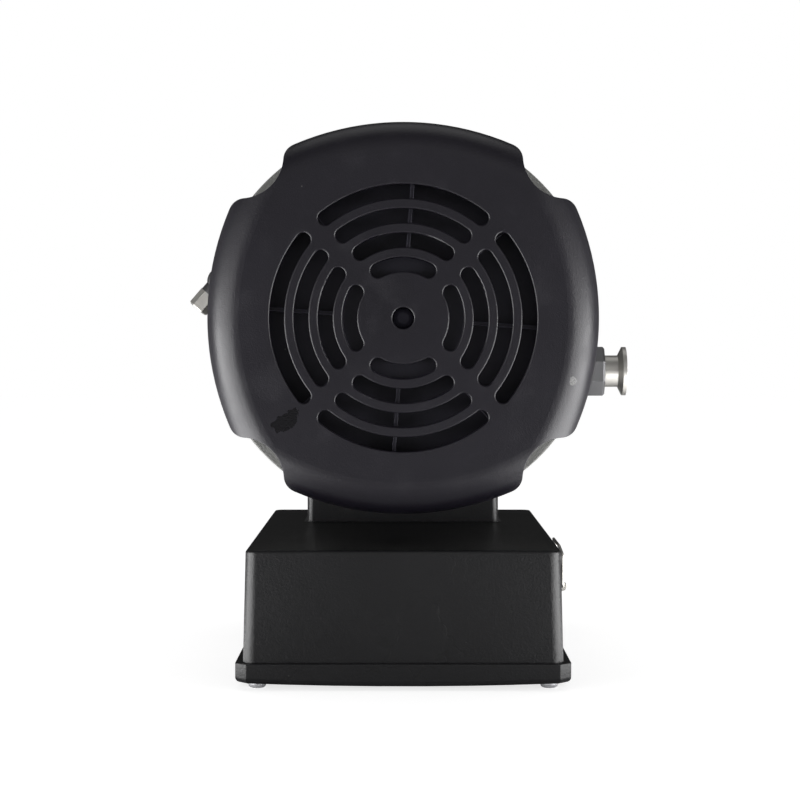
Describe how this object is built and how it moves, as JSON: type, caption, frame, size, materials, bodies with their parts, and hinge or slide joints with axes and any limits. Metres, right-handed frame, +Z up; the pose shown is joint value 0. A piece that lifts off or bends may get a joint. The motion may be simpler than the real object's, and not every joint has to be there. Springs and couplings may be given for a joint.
{
  "type": "dry scroll vacuum pump",
  "caption": "Air-cooled dry scroll vacuum pump with a lobed grille shroud, scroll housing, motor, pedestal and an electronics base on domed feet.",
  "frame": {"origin": "On the floor under the middle of the pump's length, in the plane of the shaft axis", "axes": "+Z up, +Y along the shaft from the fan end to the motor end, +X to the right seen from the fan end, on the exhaust side"},
  "size_m": [0.276, 0.364, 0.3249],
  "materials": {
    "shroud_plastic": "fine-textured matte black moulded plastic",
    "black_casting": "black textured paint on die-cast aluminium",
    "cast_grey": "bare sand-cast aluminium with a fine rough skin",
    "machined_alloy": "machined aluminium",
    "stainless": "turned stainless steel",
    "dark_fitting": "dark oxide steel fitting",
    "fastener": "zinc-plated steel screws",
    "steel": "ground steel",
    "bearing": "polished bearing steel",
    "laminations": "stacked electrical steel",
    "copper": "enamelled copper winding",
    "rubber": "black nitrile rubber",
    "tip_seal": "filled fluoropolymer strip",
    "motor_black": "black painted motor casting",
    "fan_plastic": "dark grey moulded fan plastic",
    "connector_black": "black connector plastic",
    "circuit_board": "green circuit board",
    "capacitor": "sleeved capacitor can"
  },
  "bodies": {
    "pump": {"front_shroud": "shroud_plastic", "shroud_screws": "fastener", "fixed_scroll": "cast_grey", "fixed_tip_seal": "tip_seal", "scroll_o_ring": "rubber", "crank_bearings_fixed": "bearing", "front_bearing": "bearing", "front_shaft_seal": "rubber", "main_shaft_seal": "rubber", "main_bearing": "bearing", "rear_bearing": "bearing", "main_housing": "cast_grey", "housing_bolts": "fastener", "motor_bolts": "fastener", "bell_screws": "fastener", "inlet_port": "stainless", "exhaust_adapter": "dark_fitting", "exhaust_port": "stainless", "purge_elbow": "dark_fitting", "purge_cap": "stainless", "motor_housing": "motor_black", "stator_core": "laminations", "stator_windings": "copper", "rear_bell": "motor_black", "rear_cowl": "shroud_plastic", "cowl_screws": "fastener", "pedestal": "black_casting", "base_box": "black_casting", "base_tray": "black_casting", "tray_screws": "fastener", "feet": "fastener", "pedestal_screws": "fastener", "power_inlet": "connector_black", "power_contacts": "steel", "bail_brackets": "stainless", "inlet_screws": "fastener", "power_switch": "connector_black", "remote_connector": "steel", "jack_posts": "fastener", "controller_board": "circuit_board", "board_standoffs": "fastener", "capacitors": "capacitor", "heat_sink": "machined_alloy"},
    "crank": {"crankshaft": "steel", "front_counterweight": "steel", "rear_counterweight": "steel", "cooling_fan": "fan_plastic", "fan_screw": "fastener", "rotor_core": "laminations", "rear_fan": "fan_plastic"},
    "orbiting": {"orbiting_scroll": "machined_alloy", "orbiting_tip_seal": "tip_seal", "orbit_bearing": "bearing", "crank_bearings_orbit": "bearing"},
    "guide_1": {"anti_rotation_crank_1": "steel"},
    "guide_2": {"anti_rotation_crank_2": "steel"},
    "guide_3": {"anti_rotation_crank_3": "steel"},
    "bail": {"cord_bail": "stainless"},
    "rocker": {"switch_rocker": "connector_black"}
  },
  "joints": [
    {"name": "crank_spin", "type": "hinge", "parent": "pump", "child": "crank", "pos_m": [0, 0, 0.2099], "axis": [0, 1, 0], "continuous": true},
    {"name": "scroll_orbit", "type": "hinge", "parent": "crank", "child": "orbiting", "pos_m": [0.0045, 0, 0.2099], "axis": [0, 1, 0], "continuous": true},
    {"name": "guide_1_spin", "type": "hinge", "parent": "pump", "child": "guide_1", "pos_m": [0.06582, 0, 0.2479], "axis": [0, 1, 0], "continuous": true},
    {"name": "guide_2_spin", "type": "hinge", "parent": "pump", "child": "guide_2", "pos_m": [-0.06582, 0, 0.2479], "axis": [0, 1, 0], "continuous": true},
    {"name": "guide_3_spin", "type": "hinge", "parent": "pump", "child": "guide_3", "pos_m": [0, 0, 0.1339], "axis": [0, 1, 0], "continuous": true},
    {"name": "bail_swing", "type": "hinge", "parent": "pump", "child": "bail", "pos_m": [0.095, -0.079, 0.0509], "axis": [0, 1, 0], "range_deg": [0, 100]},
    {"name": "switch_rock", "type": "hinge", "parent": "pump", "child": "rocker", "pos_m": [0.0871, -0.027, 0.0509], "axis": [0, 1, 0], "range_deg": [-16, 0]}
  ],
  "couplings": [
    {"joint": "scroll_orbit", "follows": "crank_spin", "ratio": -1},
    {"joint": "guide_1_spin", "follows": "crank_spin", "ratio": 1},
    {"joint": "guide_2_spin", "follows": "crank_spin", "ratio": 1},
    {"joint": "guide_3_spin", "follows": "crank_spin", "ratio": 1}
  ]
}
